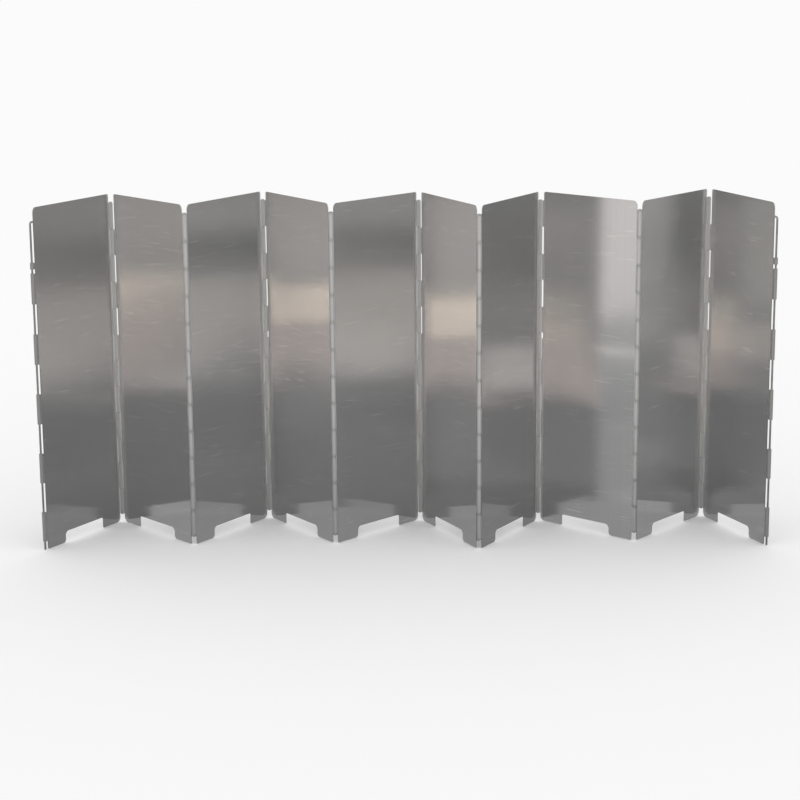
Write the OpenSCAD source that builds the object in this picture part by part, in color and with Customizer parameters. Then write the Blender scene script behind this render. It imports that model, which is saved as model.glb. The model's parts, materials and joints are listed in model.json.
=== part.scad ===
// Folding stove windscreen: a row of sheet plates on pinned hinges, with a ground stake at each end.
// Lengths are in millimetres. Plates and hinges are counted from the left, as the user sees them.
// Each plate has a near edge, towards the user, and a far edge. Neighbours are joined near to near
// and far to far, so that the row folds up like an accordion.

/* [Plates] */
// Height of the screen on its feet
screen_h = 240; // [180:5:320]
// Distance between neighbouring hinge axes
plate_pitch = 82; // [64:1:120]
// Thickness of the sheet
sheet_t = 0.5; // [0.3:0.1:0.8]
// Radius of a plate's top corner at its near edge
near_top_r = 3; // [1:0.5:6]
// Radius of a plate's top corner at its far edge
far_top_r = 1.5; // [0.5:0.5:6]

/* [Feet] */
// Width of a foot, from the hinge axis to the air cut-out
foot_w = 20.5; // [14:0.5:26]
// Height of the air cut-out
vent_h = 8; // [5:0.5:16]
// Radius in the cut-out's upper corner on the near side
near_vent_r = 3; // [0.5:0.5:4]
// Radius in the cut-out's upper corner on the far side
far_vent_r = 1.5; // [0.5:0.5:4]
// Radius of the near foot's corner at the cut-out
near_foot_r = 2.5; // [0.5:0.5:4]
// Radius of the far foot's corner at the cut-out
far_foot_r = 1; // [0.5:0.5:4]
// Radius of the near foot's corner under the hinge
near_heel_r = 1; // [0.5:0.5:5]
// Radius of the far foot's corner under the hinge
far_heel_r = 4; // [0.5:0.5:5]

/* [Hinges] */
// Diameter of the hinge wire
pin_d = 1.9; // [1.4:0.1:3]
// Running clearance round the wire
pin_clear = 0.05; // [0.03:0.01:0.1]
// Knuckles in one hinge, shared by its two plates
knuckle_count = 12; // [6:2:18]
// Height left free above and below a hinge
hinge_margin = 6; // [5:0.5:12]
// Gap between neighbouring knuckles
knuckle_gap = 0.4; // [0.3:0.1:1]
// Clearance between a plate's edge and its neighbour's knuckles
edge_clear = 0.1; // [0.1:0.05:0.5]
// Extra set-back that leaves an open slot beside the upper knuckles, in the far edge of the even plates
slot_relief = 1; // [0.2:0.1:3]
// Height of the lower end of that set-back
slot_z = 135; // [60:5:160]
// Angle above the hinge axis at which the rolled lip ends
lip_angle = 30; // [0:5:35]
// Diameter of the wire's peened heads
head_d = 2.6; // [2.2:0.1:3.6]
// Height of the wire's peened heads
head_h = 0.6; // [0.3:0.1:1]

/* [Stakes] */
// Diameter of the stake rods
stake_d = 1.4; // [1:0.1:2.4]
// Clearance round a stake rod
stake_clear = 0.1; // [0.05:0.01:0.2]
// Extra set-back that leaves an open slot between an end plate and its stake
stake_relief = 0.7; // [0.2:0.1:3]
// Rolled knuckles that guide one stake
end_knuckle_count = 5; // [3:1:7]
// Height left free above those knuckles
end_top_clear = 45; // [30:1:60]
// Length of the short knuckle that grips the rod
grip_l = 4.5; // [3:0.5:10]
// Gap between the grip and the knuckle below it
grip_gap = 3; // [1:0.5:6]
// Distance from the plate's top down to the stake's hook
hook_drop = 10; // [6:1:18]
// Reach of the hook from the rod's axis
hook_l = 8; // [6:0.5:14]
// Turn of the hook away from the plate
hook_turn = 15; // [8:1:40]
// Radius of the hook's bend, at the middle of the rod
bend_r = 1.5; // [1:0.5:4]
// Height of the chamfer at the stake's lower end
tip_l = 0.4; // [0.2:0.1:2]
// Diameter of the stake's lower end
tip_d = 1; // [0.4:0.1:1]

/* [Hidden] */
$fn = 48;
// Direction of each plate from its left edge to its right edge, seen from above, in degrees from +X
plate_yaw = [58, -47, 55, -54, 44.5, -62.5, 58, -40.5, 49, -66];
plates = len(plate_yaw);
plate_colour = "#b4b3af";
pin_colour = "#8f8f8d";
stake_colour = "#9c9b98";
// Overshoot of cuts, and the overlap of a knuckle's tab with its plate
over = 1;

// Rolled edges: the sheet runs tangent to the roll, so the axis stands off the sheet's middle
bore_r = pin_d / 2 + pin_clear;
barrel_r = bore_r + sheet_t;
roll_offset = bore_r + sheet_t / 2;
end_bore_r = stake_d / 2 + stake_clear;
end_barrel_r = end_bore_r + sheet_t;
end_offset = end_bore_r + sheet_t / 2;

// Distances along a plate: between its two hinge axes, and from an axis to the plate's edge
plate_run = sqrt(pow(plate_pitch, 2) - pow(2 * roll_offset, 2));
close_edge = sqrt(pow(barrel_r + edge_clear, 2) - pow(bore_r, 2));
end_edge = sqrt(pow(end_barrel_r + edge_clear, 2) - pow(end_bore_r, 2)) + stake_relief;

// Heights
knuckle_pitch = (screen_h - 2 * hinge_margin) / knuckle_count;
end_top_z = screen_h - end_top_clear;
end_knuckle_l = (end_top_z - hinge_margin) / (2 * end_knuckle_count - 1);
hook_z = screen_h - hook_drop;
bend_z = hook_z - bend_r;

// Sphere that gives a peened head its dome
dome_r = (pow(head_d / 2, 2) + pow(head_h, 2)) / (2 * head_h);

// Odd plates run from their near edge on the left to their far edge on the right, even ones mirror them
function is_odd(k) = k % 2 == 1;
function is_end(k) = k == 1 || k == plates;
function near_hinge(k) = is_odd(k) ? k - 1 : k;
function far_hinge(k) = is_odd(k) ? k : k - 1;
function near_offset(k) = is_end(k) ? end_offset : roll_offset;

// The plate that holds a hinge's top knuckle changes sides after every second hinge
function left_has_top(i) = floor((i - 1) / 2) % 2 == 0;
function first_knuckle(k, i) = (k == i) == left_has_top(i) ? 0 : 1;

// Upright axes from the left stake to the right stake, each one plate on from the last.
// A plate crosses over from behind one axis to in front of the next.
function along(k) = [cos(plate_yaw[k - 1]), sin(plate_yaw[k - 1])];
function behind(k) = [-sin(plate_yaw[k - 1]), cos(plate_yaw[k - 1])];
function cross_over(k) = (is_odd(k) ? -1 : 1) * (roll_offset + near_offset(k));
function next_axis(k) = plate_run * along(k) + cross_over(k) * behind(k);
function raw_axis(i) = i == 0 ? [0, 0] : raw_axis(i - 1) + next_axis(i);
raw = [for (i = [0 : plates]) raw_axis(i)];

// Outer radius of the roll round an axis, and the middle of the whole row, which is the origin
function roll_r(i) = i == 0 || i == plates ? end_barrel_r : barrel_r;
low_y = min([for (i = [0 : 2 : plates]) raw[i].y - roll_r(i)]);
high_y = max([for (i = [1 : 2 : plates]) raw[i].y + roll_r(i)]);
middle = [(raw[0].x + raw[plates].x) / 2, (low_y + high_y) / 2];
axis_at = [for (p = raw) p - middle];

// The waste between a square corner and its fillet; the corner's inside lies in the turned quadrant
module corner_cut(at, turn, r) {
    translate(at) rotate(turn) difference() {
        translate([-over, -over]) square(r + over);
        translate([r, r]) circle(r);
    }
}

// Air cut-out between the two feet
module vent() {
    far_x = plate_run - foot_w;
    difference() {
        translate([foot_w, -over]) square([far_x - foot_w, vent_h + over]);
        corner_cut([foot_w, vent_h], 270, near_vent_r);
        corner_cut([far_x, vent_h], 180, far_vent_r);
    }
}

// Flat outline of a plate, with its near axis at 0 and its far axis at plate_run
module plate_outline(near_edge, relief) {
    far_x = plate_run - close_edge;
    difference() {
        translate([near_edge, 0]) square([far_x - near_edge, screen_h]);
        vent();
        if (relief > 0)
            translate([far_x - relief, slot_z]) square([relief + over, screen_h - slot_z + over]);
        corner_cut([near_edge, screen_h], 270, near_top_r);
        corner_cut([far_x - relief, screen_h], 180, far_top_r);
        corner_cut([near_edge, 0], 0, near_heel_r);
        corner_cut([far_x, 0], 90, far_heel_r);
        corner_cut([foot_w, 0], 90, near_foot_r);
        corner_cut([plate_run - foot_w, 0], 0, far_foot_r);
    }
}

// Section of a rolled edge round the origin: an open ring that ends in a lip, and the tab to the plate
module roll_section(bore, edge) {
    reach = 2 * (bore + sheet_t);
    difference() {
        circle(bore + sheet_t);
        circle(bore);
        polygon([[0, 0], reach * [cos(lip_angle), sin(lip_angle)], [reach, reach], [0, reach]]);
    }
    translate([0, bore]) square([edge + over, sheet_t]);
}

module knuckle(bore, edge, z, length) {
    translate([0, 0, z]) linear_extrude(length) roll_section(bore, edge);
}

// One plate's share of a hinge: every second knuckle, counted from the top
module hinge_knuckles(first, edge) {
    for (n = [first : 2 : knuckle_count - 1])
        knuckle(
            bore_r, edge,
            screen_h - hinge_margin - (n + 1) * knuckle_pitch + knuckle_gap / 2,
            knuckle_pitch - knuckle_gap
        );
}

// Stake guide on the outer edge of an end plate: spaced knuckles, and the short grip above them
module stake_knuckles() {
    for (n = [0 : end_knuckle_count - 1])
        knuckle(end_bore_r, end_edge, hinge_margin + 2 * n * end_knuckle_l, end_knuckle_l);
    knuckle(end_bore_r, end_edge, end_top_z + grip_gap, grip_l);
}

// Puts the near axis of a flat plate where it stands in the row
module at_near_axis(k) {
    translate(axis_at[near_hinge(k)]) rotate(plate_yaw[k - 1])
        if (is_odd(k))
            children();
        else
            mirror([1, 0, 0]) children();
}

module plate(k) {
    near_edge = is_end(k) ? end_edge : close_edge;
    relief = is_odd(k) ? 0 : slot_relief;
    color(plate_colour) at_near_axis(k) {
        translate([0, -near_offset(k), 0]) rotate([90, 0, 0])
            linear_extrude(sheet_t, center = true) plate_outline(near_edge, relief);
        mirror([0, 1, 0])
            if (is_end(k))
                stake_knuckles();
            else
                hinge_knuckles(first_knuckle(k, near_hinge(k)), near_edge);
        translate([plate_run, -near_offset(k) - roll_offset, 0]) mirror([1, 0, 0])
            hinge_knuckles(first_knuckle(k, far_hinge(k)), close_edge + relief);
    }
}

// Domed end of a hinge wire, peened over the knuckles
module peened_head() {
    rotate_extrude() intersection() {
        translate([0, head_h - dome_r]) circle(dome_r);
        square([head_d / 2, head_h]);
    }
}

module hinge_pin(i) {
    color(pin_colour) translate(axis_at[i]) {
        translate([0, 0, hinge_margin]) cylinder(h = screen_h - 2 * hinge_margin, d = pin_d);
        translate([0, 0, screen_h - hinge_margin]) peened_head();
        translate([0, 0, hinge_margin]) mirror([0, 0, 1]) peened_head();
    }
}

// Blunt rod in the outer knuckles of plate k, with a hook bent over behind the plate
module stake(k) {
    color(stake_colour) at_near_axis(k) rotate(hook_turn) {
        cylinder(h = tip_l, d1 = tip_d, d2 = stake_d);
        translate([0, 0, tip_l]) cylinder(h = bend_z - tip_l, d = stake_d);
        translate([bend_r, 0, bend_z]) rotate([90, 0, 0]) rotate(90)
            rotate_extrude(angle = 90) translate([bend_r, 0]) circle(d = stake_d);
        translate([bend_r, 0, hook_z]) rotate([0, 90, 0]) cylinder(h = hook_l - bend_r, d = stake_d);
    }
}

for (k = [1 : plates]) plate(k);
for (i = [1 : plates - 1]) hinge_pin(i);
stake(1);  // stake_left
stake(plates);  // stake_right
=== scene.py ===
"""Folding stove windscreen of sheet aluminium, dressed for its studio picture.

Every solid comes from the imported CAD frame. This file gives each one its finish and builds the
studio round it. Sizes are in millimetres unless a name says otherwise.
"""

import json
import logging
import math
from dataclasses import dataclass, field
from enum import Enum

import bmesh
import bpy
from bpy.types import Material, Node, NodeSocket, NodeTree, Object
from mathutils import Matrix, Vector

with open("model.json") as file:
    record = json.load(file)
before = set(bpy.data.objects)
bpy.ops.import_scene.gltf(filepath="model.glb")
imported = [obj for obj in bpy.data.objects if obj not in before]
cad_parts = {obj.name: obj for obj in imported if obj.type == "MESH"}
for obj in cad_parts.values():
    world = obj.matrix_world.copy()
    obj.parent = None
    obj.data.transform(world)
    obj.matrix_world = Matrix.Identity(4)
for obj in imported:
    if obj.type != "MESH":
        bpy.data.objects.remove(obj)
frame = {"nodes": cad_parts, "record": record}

LOG = logging.getLogger("windscreen")
MM = 0.001
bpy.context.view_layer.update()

Colour = tuple[float, float, float, float]
Corners = tuple[tuple[float, float], ...]


class Slot(Enum):
    """Names of the record's material slots."""

    PLATE = "plate"
    PIN = "hinge_pin"
    STAKE = "stake"


def linear(hex_colour: str) -> Colour:
    """Turns an sRGB hex colour into linear RGBA.

    Args:
        hex_colour: colour such as "#a0a0a0".

    Returns:
        Linear red, green, blue and an alpha of 1.
    """
    parts = [int(hex_colour[i:i + 2], 16) / 255 for i in (1, 3, 5)]
    rgb = [c / 12.92 if c <= 0.04045 else ((c + 0.055) / 1.055) ** 2.4 for c in parts]
    return (rgb[0], rgb[1], rgb[2], 1.0)


def add(tree: NodeTree, kind: str, inputs: dict | None = None, **settings) -> Node:
    """Adds a node with its settings, values and links.

    Args:
        tree: node tree to add to.
        kind: node type, such as "ShaderNodeTexNoise".
        inputs: socket name or index to a value, or to an output socket that is linked to it.
        settings: properties of the node.

    Returns:
        The new node.
    """
    node = tree.nodes.new(kind)
    for name, value in settings.items():
        setattr(node, name, value)
    for name, value in (inputs or {}).items():
        if isinstance(value, NodeSocket):
            tree.links.new(value, node.inputs[name])
        else:
            node.inputs[name].default_value = value
    return node


def new_material(name: str) -> tuple[Material, NodeTree]:
    """Makes an empty node material.

    Args:
        name: name of the material.

    Returns:
        The material and its node tree.
    """
    material = bpy.data.materials.new(name)
    material.use_nodes = True
    material.node_tree.nodes.clear()
    return material, material.node_tree


def dress_node(node: Object, material: Material) -> None:
    """Puts one material on a CAD node.

    Args:
        node: the CAD node's object.
        material: its new material.
    """
    node.data.materials.clear()
    node.data.materials.append(material)
    LOG.info("%s: %s", node.name, material.name)


@dataclass(frozen=True)
class Grain:
    """A noise pattern: the size of its marks, and how much finer detail it holds."""

    size_mm: float
    detail: float
    roughness: float = 0.5
    distortion: float = 0.0

    def values(self) -> dict[str, float]:
        """Socket values of a noise node that draws it on Object coordinates, in metres."""
        return {"Scale": 1.0 / (self.size_mm * MM), "Detail": self.detail,
                "Roughness": self.roughness, "Distortion": self.distortion}


def upright_lines(tree: NodeTree, place: NodeSocket, grain: Grain,
                  length_mm: float) -> NodeSocket:
    """Draws the fine upright lines that rolling and wire drawing leave.

    Args:
        tree: the material's node tree.
        place: object coordinates.
        grain: the lines' width and detail.
        length_mm: about how long a line runs.

    Returns:
        A socket that varies about 0.5 from line to line.
    """
    stretched = add(tree, "ShaderNodeMapping", {
        "Vector": place, "Scale": (1.0, 1.0, grain.size_mm / length_mm)})
    lines = add(tree, "ShaderNodeTexNoise", {
        "Vector": stretched.outputs["Vector"], **grain.values()})
    return lines.outputs["Fac"]


class RollKind(Enum):
    """Where a rolled edge stands: round a stake, or at a fold towards or away from the user."""

    END = "end"
    NEAR = "near"
    FAR = "far"


@dataclass(frozen=True)
class Roll:
    """A rolled edge: a point on its upright axis in metres, and where it stands."""

    axis: Vector
    kind: RollKind


def rolled_edges(record: dict) -> list[Roll]:
    """Finds the rolled edges of the row.

    Args:
        record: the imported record.

    Returns:
        The rolls from the left stake over the hinges to the right stake.
    """
    stakes = {mount["name"]: Roll(Vector(mount["pos_m"]), RollKind.END)
              for mount in record["mounts"]}
    hinges = {joint["name"]: Vector(joint["pos_m"])
              for joint in record["behaviour"]["joints"] if joint["type"] == "hinge"}
    middle = [Roll(hinges[f"hinge_{i}"], RollKind.FAR if i % 2 else RollKind.NEAR)
              for i in range(1, len(hinges) + 1)]
    return [stakes["stake_point_left"], *middle, stakes["stake_point_right"]]


@dataclass(frozen=True)
class BurnishAndPaintedLight:
    """A roll's finish: its tone of painted light, its fade, its lay, and if joins and low parts
    darken.
    """

    colour: str
    fade_mm: float
    anisotropy: float
    darker_at_joins_and_low: bool = False


@dataclass(frozen=True)
class Sheet:
    """One plate's tone of painted light and shade, how much duller it is, and its right part's
    bend.
    """

    colour: str
    haze: float = 0.0
    bend_deg: float = 0.0


@dataclass(frozen=True)
class MillSheet:
    """Mill-finish aluminium sheet: bright-rolled, so it mirrors with a slight blur.

    The rolling lines run up the plate and spread reflections sideways. The thin sheet isn't quite
    flat, which bends what it mirrors. Handling leaves cloudy smudges and short hairline scratches.
    The rolled knuckles are burnished by the forming tool, which leaves them dull. Their tones are
    painted light: the pale tone of the rolls at the folds is a painted sheen, and the darker tone
    of the rolls round the stakes is painted shade. The rolls at the folds towards the user are
    darker where two knuckles meet and towards the ground.
    """

    name: str = "mill_finish_aluminium"
    roughness: float = 0.108
    anisotropy: float = 1.0
    # The blur runs across this axis; its slight lean keeps it defined on level edges.
    lay_axis: tuple[float, float, float] = (0.04, 0.02, 1.0)
    # Real rolling lines are under 0.1 mm, and are drawn this coarse to show in the picture.
    line: Grain = Grain(1.6, detail=2.0)
    line_length_mm: float = 160.0
    line_cut: tuple[float, float] = (0.3, 0.7)
    line_tone: tuple[float, float] = (0.985, 1.015)
    cloud: Grain = Grain(45.0, detail=3.0, roughness=0.55)
    smudge: Grain = Grain(14.0, detail=5.0, roughness=0.6, distortion=0.6)
    smudge_cut: tuple[float, float] = (0.5, 0.72)
    smudge_tone: float = 0.97
    smudge_roughness: float = 0.13
    # Real scratches are about 0.05 mm wide, and are drawn wider for the same reason.
    scratch: Grain = Grain(0.7, detail=0.0)
    scratch_length_mm: float = 26.0
    scratch_cut: tuple[float, float] = (0.722, 0.8)
    scratch_tone: float = 1.2
    scratch_roughness: float = 0.16
    wave: Grain = Grain(260.0, detail=1.0, roughness=0.3)
    wave_height_mm: float = 0.6
    # Where a bent sheet turns, and how gently, as shares of the plate's width.
    bend_at: float = 0.57
    bend_ease: float = 0.25
    roll_mm: float = 1.55
    roll_roughness: float = 0.55
    # The roll tones are painted light: the pale near and far rolls are a painted sheen, and the
    # darker end rolls are painted shade. On the far rolls the tool also rubs the lip that sets the
    # knuckles back, and the pale tone there is painted light over the dark that the lip mirrors.
    rolls: dict[RollKind, BurnishAndPaintedLight] = field(default_factory=lambda: {
        RollKind.END: BurnishAndPaintedLight("#a9a9a8", 0.4, 0.0),
        RollKind.NEAR: BurnishAndPaintedLight("#d2d2d1", 0.4, 0.0, darker_at_joins_and_low=True),
        RollKind.FAR: BurnishAndPaintedLight("#f4f4f3", 2.0, 1.0),
    })
    # Height of the lowest join between two knuckles, and their pitch, as in the part's source.
    join_z_mm: float = 6.0
    join_pitch_mm: float = 19.0
    # The near rolls are darker where two knuckles meet and towards the ground.
    join_reach_mm: tuple[float, float] = (0.4, 2.2)
    join_tone: float = 0.82
    low_darkening_mm: float = 95.0
    low_darkening_tone: float = 0.76

    def build(self, plate: int, sheet: Sheet, left: Roll, right: Roll) -> Material:
        """Builds the node material of one plate.

        Args:
            plate: the plate's number.
            sheet: its tone of painted light and shade, its haze and its bend.
            left: the roll of its left edge.
            right: the roll of its right edge.

        Returns:
            The finished material.
        """
        material, tree = new_material(f"{self.name}_{plate}")
        place = add(tree, "ShaderNodeTexCoord").outputs["Object"]
        scratch = self.scratch_mask(tree, place, (right.axis - left.axis).xy)
        soil = self.soil_mask(tree, place)

        base = self.sheet_tone(tree, place, sheet, soil, scratch)
        lay = self.anisotropy
        gloss = add(tree, "ShaderNodeMix", {
            "Factor": soil, "A": self.roughness + sheet.haze,
            "B": self.smudge_roughness + sheet.haze}).outputs["Result"]
        gloss = add(tree, "ShaderNodeMix", {
            "Factor": scratch, "A": gloss, "B": self.scratch_roughness}).outputs["Result"]
        for roll in (left, right):
            burnish_and_light = self.rolls[roll.kind]
            mask = self.roll_mask(tree, place, roll)
            # Each roll lays its tone of painted light over the sheet.
            base = add(tree, "ShaderNodeMix", {
                "Factor": mask, "A": base, "B": self.roll_tone(tree, place, burnish_and_light)},
                data_type="RGBA").outputs["Result"]
            gloss = add(tree, "ShaderNodeMix", {
                "Factor": mask, "A": gloss, "B": self.roll_roughness}).outputs["Result"]
            lay = add(tree, "ShaderNodeMix", {
                "Factor": mask, "A": lay, "B": burnish_and_light.anisotropy}).outputs["Result"]
        normal = self.wavy_normal(tree, place)
        if sheet.bend_deg:
            normal = self.bent_normal(tree, place, normal, sheet.bend_deg, left, right)
        upright = add(tree, "ShaderNodeCombineXYZ", dict(zip("XYZ", self.lay_axis)))
        # The quarter turn lays the blur across the axis instead of along it.
        shader = add(tree, "ShaderNodeBsdfPrincipled", {
            "Base Color": base, "Metallic": 1.0, "Roughness": gloss, "Anisotropic": lay,
            "Anisotropic Rotation": 0.25, "Normal": normal,
            "Tangent": upright.outputs["Vector"]})
        add(tree, "ShaderNodeOutputMaterial", {"Surface": shader.outputs["BSDF"]})
        return material

    def sheet_tone(self, tree: NodeTree, place: NodeSocket, sheet: Sheet, soil: NodeSocket,
                   scratch: NodeSocket) -> NodeSocket:
        """Colours the flat sheet in its tone of painted light and shade, with faint rolling lines,
        dull smudges and bright scratches.

        Args:
            tree: the material's node tree.
            place: object coordinates.
            sheet: the plate's tone of painted light and shade.
            soil: mask of the smudges.
            scratch: mask of the scratches.

        Returns:
            The sheet's colour.
        """
        tone = add(tree, "ShaderNodeMapRange", {
            "Value": upright_lines(tree, place, self.line, self.line_length_mm),
            "From Min": self.line_cut[0], "From Max": self.line_cut[1],
            "To Min": self.line_tone[0], "To Max": self.line_tone[1]}).outputs["Result"]
        for mask, factor in ((soil, self.smudge_tone), (scratch, self.scratch_tone)):
            step = add(tree, "ShaderNodeMix", {"Factor": mask, "A": 1.0, "B": factor})
            tone = add(tree, "ShaderNodeMath", {
                0: tone, 1: step.outputs["Result"]}, operation="MULTIPLY").outputs["Value"]
        # The plate's colour is painted light and shade, set to how light its reflections look.
        base = add(tree, "ShaderNodeVectorMath", {
            0: linear(sheet.colour)[:3], "Scale": tone}, operation="SCALE")
        return base.outputs["Vector"]

    def roll_tone(self, tree: NodeTree, place: NodeSocket,
                  burnish_and_light: BurnishAndPaintedLight) -> Colour | NodeSocket:
        """Colours a roll with its tone of painted light.

        Args:
            tree: the material's node tree.
            place: object coordinates.
            burnish_and_light: the roll's finish.

        Returns:
            Its plain colour, or a socket where it is darker at the joins and towards the ground.
        """
        # The roll's colour is painted light: a pale sheen on the rolls at the folds, shade on the
        # end rolls.
        colour = linear(burnish_and_light.colour)
        if not burnish_and_light.darker_at_joins_and_low:
            return colour
        # Darker where two knuckles meet and towards the ground.
        darkened_roll = add(tree, "ShaderNodeVectorMath", {
            0: colour[:3], "Scale": self.darkening_at_joins_and_low(tree, place)}, operation="SCALE")
        return darkened_roll.outputs["Vector"]

    def darkening_at_joins_and_low(self, tree: NodeTree, place: NodeSocket) -> NodeSocket:
        """Darkens a roll where two knuckles meet and towards the ground.

        Args:
            tree: the material's node tree.
            place: object coordinates.

        Returns:
            A factor for the roll's tone, 1 where it isn't darkened.
        """
        height = add(tree, "ShaderNodeSeparateXYZ", {"Vector": place}).outputs["Z"]
        above = add(tree, "ShaderNodeMath", {
            0: height, 1: self.join_z_mm * MM}, operation="SUBTRACT")
        join = add(tree, "ShaderNodeMath", {
            0: above.outputs["Value"], 1: self.join_pitch_mm / 2 * MM}, operation="PINGPONG")
        meeting = add(tree, "ShaderNodeMapRange", {
            "Value": join.outputs["Value"], "From Min": self.join_reach_mm[0] * MM,
            "From Max": self.join_reach_mm[1] * MM, "To Min": self.join_tone, "To Max": 1.0})
        low = add(tree, "ShaderNodeMapRange", {
            "Value": height, "From Min": 0.0, "From Max": self.low_darkening_mm * MM,
            "To Min": self.low_darkening_tone, "To Max": 1.0})
        tone = add(tree, "ShaderNodeMath", {
            0: meeting.outputs["Result"], 1: low.outputs["Result"]}, operation="MULTIPLY")
        return tone.outputs["Value"]

    def wavy_normal(self, tree: NodeTree, place: NodeSocket) -> NodeSocket:
        """Turns the normal of thin sheet that isn't quite flat.

        Args:
            tree: the material's node tree.
            place: object coordinates.

        Returns:
            The turned normal.
        """
        wave = add(tree, "ShaderNodeTexNoise", {"Vector": place, **self.wave.values()})
        waves = add(tree, "ShaderNodeBump", {
            "Height": wave.outputs["Fac"], "Strength": 1.0,
            "Distance": self.wave_height_mm * MM})
        return waves.outputs["Normal"]

    def bent_normal(self, tree: NodeTree, place: NodeSocket, normal: NodeSocket,
                    degrees: float, left: Roll, right: Roll) -> NodeSocket:
        """Turns the normal of a sheet that is bent back towards its right edge.

        Args:
            tree: the material's node tree.
            place: object coordinates.
            normal: the normal before the bend.
            degrees: the angle of the bend.
            left: the roll of the plate's left edge.
            right: the roll of its right edge.

        Returns:
            The bent normal.
        """
        across = (right.axis - left.axis).xy
        start = left.axis.xy.lerp(right.axis.xy, self.bend_at)
        away = add(tree, "ShaderNodeVectorMath", {
            0: place, 1: (start.x, start.y, 0.0)}, operation="SUBTRACT")
        past = add(tree, "ShaderNodeVectorMath", {
            0: away.outputs["Vector"], 1: (*across.normalized(), 0.0)}, operation="DOT_PRODUCT")
        drop = add(tree, "ShaderNodeMath", {
            0: past.outputs["Value"], 1: 0.0, 2: self.bend_ease * across.length},
            operation="SMOOTH_MAX")
        bent = add(tree, "ShaderNodeBump", {
            "Height": drop.outputs["Value"], "Strength": 1.0,
            "Distance": math.tan(math.radians(degrees)), "Normal": normal}, invert=True)
        return bent.outputs["Normal"]

    def roll_mask(self, tree: NodeTree, place: NodeSocket, roll: Roll) -> NodeSocket:
        """Marks the knuckles that are rolled round one of the plate's axes.

        Args:
            tree: the material's node tree.
            place: object coordinates.
            roll: the rolled edge.

        Returns:
            A socket that is 1 on the roll and 0 on the flat sheet.
        """
        plan = add(tree, "ShaderNodeVectorMath", {
            0: place, 1: (1.0, 1.0, 0.0)}, operation="MULTIPLY")
        away = add(tree, "ShaderNodeVectorMath", {
            0: plan.outputs["Vector"], 1: (roll.axis.x, roll.axis.y, 0.0)}, operation="DISTANCE")
        reach = self.roll_mm + self.rolls[roll.kind].fade_mm
        mask = add(tree, "ShaderNodeMapRange", {
            "Value": away.outputs["Value"], "From Min": self.roll_mm * MM,
            "From Max": reach * MM, "To Min": 1.0, "To Max": 0.0})
        return mask.outputs["Result"]

    def scratch_mask(self, tree: NodeTree, place: NodeSocket, heading: Vector) -> NodeSocket:
        """Marks a few level hairline scratches.

        Args:
            tree: the material's node tree.
            place: object coordinates.
            heading: the plate's direction in plan.

        Returns:
            A socket that is 1 in a scratch and 0 beside it.
        """
        along = add(tree, "ShaderNodeMapping", {
            "Vector": place, "Rotation": (0.0, 0.0, -math.atan2(heading.y, heading.x))})
        drawn = add(tree, "ShaderNodeMapping", {
            "Vector": along.outputs["Vector"],
            "Scale": (self.scratch.size_mm / self.scratch_length_mm, 1.0, 1.0)})
        hairs = add(tree, "ShaderNodeTexNoise", {
            "Vector": drawn.outputs["Vector"], **self.scratch.values()})
        mask = add(tree, "ShaderNodeMapRange", {
            "Value": hairs.outputs["Fac"], "From Min": self.scratch_cut[0],
            "From Max": self.scratch_cut[1]}, interpolation_type="SMOOTHSTEP")
        return mask.outputs["Result"]

    def soil_mask(self, tree: NodeTree, place: NodeSocket) -> NodeSocket:
        """Marks the cloudy smudges that handling leaves.

        Args:
            tree: the material's node tree.
            place: object coordinates.

        Returns:
            A socket that rises from 0 on clean sheet towards 1 in a smudge.
        """
        cloud = add(tree, "ShaderNodeTexNoise", {"Vector": place, **self.cloud.values()})
        smudge = add(tree, "ShaderNodeTexNoise", {"Vector": place, **self.smudge.values()})
        spots = add(tree, "ShaderNodeMapRange", {
            "Value": smudge.outputs["Fac"], "From Min": self.smudge_cut[0],
            "From Max": self.smudge_cut[1]}, interpolation_type="SMOOTHSTEP")
        soil = add(tree, "ShaderNodeMath", {
            0: cloud.outputs["Fac"], 1: spots.outputs["Result"]}, operation="MULTIPLY")
        return soil.outputs["Value"]


@dataclass(frozen=True)
class DrawnWire:
    """Drawn steel wire: smooth, with fine lines along its length and a few dull spots."""

    name: str = "drawn_steel_wire"
    colour: str = "#a09f9d"
    dull_colour: str = "#858482"
    roughness: float = 0.3
    dull_roughness: float = 0.45
    spot: Grain = Grain(6.0, detail=4.0, roughness=0.6)
    spot_cut: tuple[float, float] = (0.45, 0.75)
    # Real drawing lines are finer, and are drawn this coarse to show in the picture.
    line: Grain = Grain(0.35, detail=2.0)
    line_length_mm: float = 30.0
    line_height_mm: float = 0.004

    def build(self) -> Material:
        """Builds the node material.

        Returns:
            The finished material.
        """
        material, tree = new_material(self.name)
        place = add(tree, "ShaderNodeTexCoord").outputs["Object"]
        spots = add(tree, "ShaderNodeTexNoise", {"Vector": place, **self.spot.values()})
        mask = add(tree, "ShaderNodeMapRange", {
            "Value": spots.outputs["Fac"], "From Min": self.spot_cut[0],
            "From Max": self.spot_cut[1]}).outputs["Result"]
        tone = add(tree, "ShaderNodeMix", {
            "Factor": mask, "A": linear(self.colour), "B": linear(self.dull_colour)},
            data_type="RGBA")
        gloss = add(tree, "ShaderNodeMapRange", {
            "Value": mask, "To Min": self.roughness, "To Max": self.dull_roughness})
        bump = add(tree, "ShaderNodeBump", {
            "Height": upright_lines(tree, place, self.line, self.line_length_mm),
            "Strength": 1.0, "Distance": self.line_height_mm * MM})
        shader = add(tree, "ShaderNodeBsdfPrincipled", {
            "Base Color": tone.outputs["Result"], "Metallic": 1.0,
            "Roughness": gloss.outputs["Result"], "Normal": bump.outputs["Normal"]})
        add(tree, "ShaderNodeOutputMaterial", {"Surface": shader.outputs["BSDF"]})
        return material


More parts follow.
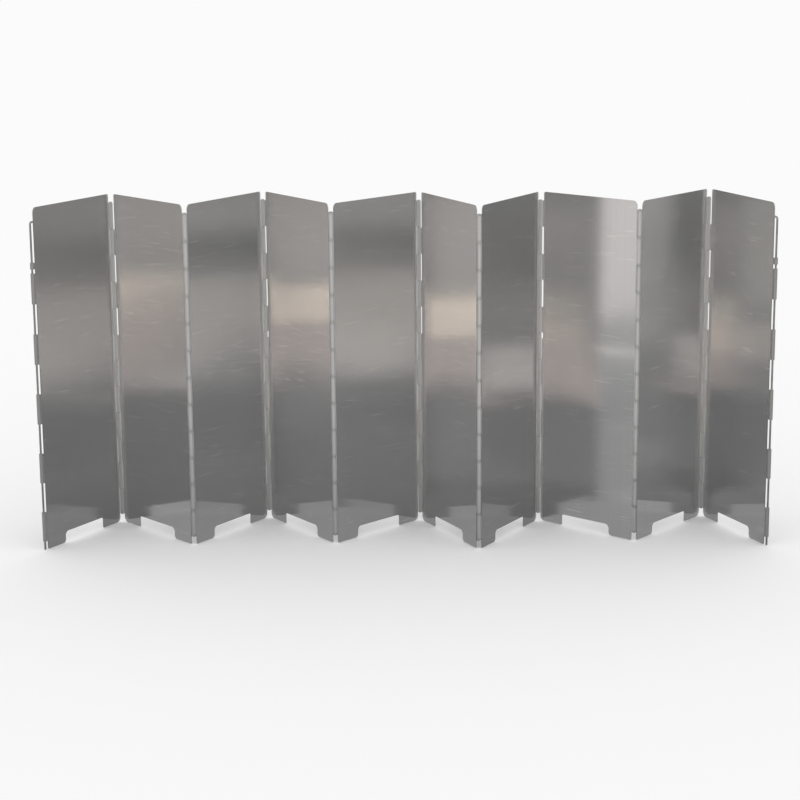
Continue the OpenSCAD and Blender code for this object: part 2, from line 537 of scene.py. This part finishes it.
@dataclass
class PlateRow:
    """The screen's plates from left to right: one finish, each in its own tone of painted light and
    shade.
    """

    finish: MillSheet = field(default_factory=MillSheet)
    # Each plate's tone is painted light and shade, set to how light its reflections look.
    sheets: tuple[Sheet, ...] = (
        Sheet("#bdbdbd", haze=0.03), Sheet("#d8d8d8"), Sheet("#cccccc"), Sheet("#d1d1d1"),
        Sheet("#cccccc"), Sheet("#d1d1d1"), Sheet("#bababa"),
        Sheet("#d8d8d8", haze=0.035, bend_deg=6.0), Sheet("#d6d6d6"), Sheet("#d1d1d1"),
    )

    def dress(self, nodes: dict[str, Object], rolls: list[Roll]) -> None:
        """Gives every plate its finish.

        Args:
            nodes: the CAD nodes by name.
            rolls: the rolled edges from left to right.
        """
        for plate, sheet in enumerate(self.sheets, start=1):
            material = self.finish.build(plate, sheet, rolls[plate - 1], rolls[plate])
            dress_node(nodes[f"plate_{plate}"], material)


@dataclass
class Wires:
    """The hinge pins and the two ground stakes."""

    pins: int = 9
    pin_finish: DrawnWire = field(default_factory=lambda: DrawnWire(
        name="hinge_wire_steel", colour="#b4b3b1", dull_colour="#979694"))
    stake_finish: DrawnWire = field(default_factory=DrawnWire)

    def dress(self, nodes: dict[str, Object]) -> None:
        """Gives the pins and the stakes their finish.

        Args:
            nodes: the CAD nodes by name.
        """
        pin_material = self.pin_finish.build()
        for i in range(1, self.pins + 1):
            dress_node(nodes[f"hinge_pin_{i}"], pin_material)
        stake_material = self.stake_finish.build()
        for side in ("left", "right"):
            dress_node(nodes[f"stake_{side}"], stake_material)


@dataclass(frozen=True)
class Card:
    """A pale card that lies on the ground in front of the screen and shows only in the metal.

    Its corners are in plan. Its glow fades out over a soft border of the given width, and its lift
    keeps it apart from the cards that it overlaps.
    """

    name: str
    colour: str
    strength: float
    soft: float
    corners: Corners
    lift: float = 2.0


@dataclass
class Studio:
    """Pale floor and soft light, with the grey ground and the pale cards that the metal mirrors.

    The photograph's white background was put in afterwards, and its metal still mirrors the darker
    place where it stood. So the camera sees a pale floor, and reflections see the ground and cards.
    """

    floor_half: float = 30000.0
    floor_drop: float = 0.2
    floor_colour: str = "#fbfbfb"
    ground_half: float = 5000.0
    ground_lift: float = 0.3
    ground_colour: str = "#747474"
    ground_glow: float = 0.25
    matt_roughness: float = 0.9
    world_colour: str = "#ffffff"
    world_strength: float = 1.0
    cards: tuple[Card, ...] = (
        Card("card_left_near", "#fff9f3", 1.1, 25.0,
             ((-165, -340), (-300, -392), (-345, -520), (-400, -650), (-330, -660),
              (-215, -560)), 2.8),
        Card("card_left", "#fff9f3", 0.86, 35.0,
             ((-165, -340), (-385, -425), (-475, -500), (-590, -595), (-660, -720),
              (-690, -850), (-500, -910), (-235, -830)), 2.5),
        Card("card_left_mid", "#fff6ea", 0.6, 40.0,
             ((-400, -850), (-560, -850), (-590, -1060), (-630, -1330), (-420, -1330))),
        Card("card_left_far", "#fffcf9", 0.66, 40.0,
             ((-580, -1200), (-1050, -1120), (-1250, -1720), (-600, -1720)), 1.5),
        Card("card_left_side", "#fffaf8", 0.87, 30.0,
             ((-512, -243), (-1750, -480), (-1750, -1250), (-1250, -1060), (-930, -790),
              (-602, -473))),
        Card("card_middle", "#fff8f3", 1.5, 42.0,
             ((40, -342), (-95, -342), (-170, -570), (-20, -570))),
        Card("card_right_outer", "#fffcf6", 0.59, 15.0,
             ((655, -590), (770, -575), (1430, -1220), (1430, -1440), (1150, -1440),
              (690, -760)), 1.0),
        Card("card_right_side", "#fff5ec", 0.9, 18.0,
             ((500, -380), (612, -570), (705, -570), (600, -380)), 1.5),
        Card("card_right_far", "#fff8f3", 0.87, 20.0,
             ((560, -690), (410, -800), (400, -1000), (400, -1440), (600, -1720),
              (1180, -1440), (720, -760)), 1.5),
        Card("card_right_edge", "#fff2e6", 1.9, 10.0,
             ((290, -690), (440, -690), (450, -850), (340, -850))),
        Card("card_right", "#fff2ec", 1.07, 15.0,
             ((8, -296), (170, -700), (345, -700), (345, -575), (125, -328)), 2.5),
        Card("card_right_near", "#fff2ec", 0.93, 10.0,
             ((105, -322), (330, -585), (390, -490), (300, -376)), 2.6),
        Card("card_right_bright", "#ffefde", 2.15, 5.0,
             ((316, -556), (380, -740), (520, -697), (372, -490)), 3.0),
        Card("card_strip", "#fffaf7", 0.66, 50.0,
             ((0, -650), (0, -1720), (330, -1720), (280, -1070), (230, -800), (190, -690),
              (100, -650))),
        Card("card_bar_soft", "#fff8ec", 0.6, 5.0,
             ((-466, -277), (-421, -337), (-396, -322), (-440, -266)), 3.0),
        Card("card_bar", "#fffcf6", 2.2, 2.0,
             ((-430, -266), (-388, -322), (-374, -316), (-416, -260)), 3.0),
        Card("card_shade", "#ffffff", 0.32, 20.0,
             ((215, -20), (330, -20), (500, -300), (350, -300))),
        Card("card_shade_far", "#ffffff", 0.3, 40.0,
             ((-130, -760), (-330, -760), (-520, -1600), (-250, -1600))),
        Card("card_shade_left", "#ffffff", 0.29, 25.0,
             ((-690, -890), (-670, -1110), (-880, -1130), (-880, -900))),
        Card("card_shade_near", "#ffffff", 0.37, 30.0,
             ((-150, -110), (-240, -110), (-350, -290), (-300, -330), (-120, -270)), 1.0),
        Card("card_right_low", "#ffffff", 0.465, 40.0,
             ((30, -50), (60, -330), (240, -330), (190, -50)), 1.0),
    )

    def build(self) -> None:
        """Builds the floor, the ground, the cards and the world light."""
        self.build_plane("floor", self.floor_half, -self.floor_drop, self.floor_colour)
        ground = self.build_plane("ground", self.ground_half, self.ground_lift,
                                  self.ground_colour, self.ground_glow)
        self.show_in_metal_only(ground)
        for card in self.cards:
            self.build_card(card)
        world = bpy.data.worlds.new("soft_studio")
        bpy.context.scene.world = world
        world.use_nodes = True
        world.node_tree.nodes.clear()
        sky = add(world.node_tree, "ShaderNodeBackground", {
            "Color": linear(self.world_colour), "Strength": self.world_strength})
        add(world.node_tree, "ShaderNodeOutputWorld", {"Surface": sky.outputs["Background"]})

    def flat_piece(self, name: str, corners: Corners, z: float, soft: float = 0.0) -> Object:
        """Makes a level polygon and links it into the scene.

        Args:
            name: name of the object.
            corners: its corners in plan, in order.
            z: its height.
            soft: width of the border over which its glow attribute rises from 0 to 1.

        Returns:
            The new object.
        """
        mesh = bpy.data.meshes.new(name)
        bm = bmesh.new()
        glow = bm.verts.layers.float.new("glow")
        face = bm.faces.new([bm.verts.new(Vector((x, y, z)) * MM) for x, y in corners])
        bmesh.ops.recalc_face_normals(bm, faces=bm.faces)
        if soft:
            bmesh.ops.inset_region(bm, faces=[face], thickness=soft * MM, use_boundary=True,
                                   use_even_offset=True)
        for vert in face.verts:
            vert[glow] = 1.0
        bm.to_mesh(mesh)
        bm.free()
        piece = bpy.data.objects.new(name, mesh)
        bpy.context.scene.collection.objects.link(piece)
        return piece

    def build_plane(self, name: str, half: float, z: float, colour: str,
                    glow: float = 0.0) -> Object:
        """Lays a square of matt floor.

        Args:
            name: name of the object.
            half: half its side.
            z: its height.
            colour: its colour.
            glow: how strongly it shines by itself.

        Returns:
            The new object.
        """
        corners = ((-half, -half), (half, -half), (half, half), (-half, half))
        plane = self.flat_piece(name, corners, z)
        material, tree = new_material("matt_" + name)
        shader = add(tree, "ShaderNodeBsdfPrincipled", {
            "Base Color": linear(colour), "Roughness": self.matt_roughness,
            "Specular IOR Level": 0.0, "Emission Color": linear(self.world_colour),
            "Emission Strength": glow})
        add(tree, "ShaderNodeOutputMaterial", {"Surface": shader.outputs["BSDF"]})
        plane.data.materials.append(material)
        return plane

    def build_card(self, card: Card) -> None:
        """Lays one pale card on the ground.

        Args:
            card: its place, colour and strength.
        """
        piece = self.flat_piece(card.name, card.corners, card.lift, card.soft)
        material, tree = new_material(card.name + "_glow")
        border = add(tree, "ShaderNodeAttribute", attribute_name="glow")
        fade = add(tree, "ShaderNodeMapRange", {
            "Value": border.outputs["Fac"]}, interpolation_type="SMOOTHSTEP")
        clear = add(tree, "ShaderNodeBsdfTransparent")
        glow = add(tree, "ShaderNodeEmission", {
            "Color": linear(card.colour), "Strength": card.strength})
        blend = add(tree, "ShaderNodeMixShader", {
            0: fade.outputs["Result"], 1: clear.outputs["BSDF"], 2: glow.outputs["Emission"]})
        add(tree, "ShaderNodeOutputMaterial", {"Surface": blend.outputs["Shader"]})
        piece.data.materials.append(material)
        self.show_in_metal_only(piece)

    def show_in_metal_only(self, piece: Object) -> None:
        """Hides a stage piece from the camera and keeps it from lighting or shading the floor."""
        piece.visible_camera = False
        piece.visible_diffuse = False
        piece.visible_shadow = False


@dataclass
class View:
    """Camera at the photograph's place, with a long lens that looks down a little."""

    place: tuple[float, float, float] = (-2.2, -1447.8, 435.8)
    turn_deg: float = -0.04
    down_deg: float = 13.17
    roll_deg: float = -0.43
    lens_mm: float = 95.0
    sensor_mm: float = 36.0
    clip_m: tuple[float, float] = (0.01, 100.0)

    def build(self) -> None:
        """Makes the camera and sets it as the scene's."""
        data = bpy.data.cameras.new("camera")
        data.lens = self.lens_mm
        data.sensor_width = self.sensor_mm
        data.sensor_fit = "HORIZONTAL"
        data.clip_start, data.clip_end = self.clip_m
        camera = bpy.data.objects.new("camera", data)
        bpy.context.scene.collection.objects.link(camera)
        camera.matrix_world = (
            Matrix.Translation(Vector(self.place) * MM)
            @ Matrix.Rotation(math.radians(-self.turn_deg), 4, "Z")
            @ Matrix.Rotation(math.radians(90 - self.down_deg), 4, "X")
            @ Matrix.Rotation(math.radians(self.roll_deg), 4, "Z"))
        bpy.context.scene.camera = camera


def main() -> None:
    """Dresses the CAD nodes and builds the studio round them."""
    logging.basicConfig(level=logging.INFO)
    PlateRow().dress(frame["nodes"], rolled_edges(frame["record"]))
    Wires().dress(frame["nodes"])
    Studio().build()
    View().build()
    bpy.context.scene.view_settings.view_transform = "Standard"


if __name__ == "__main__":
    main()
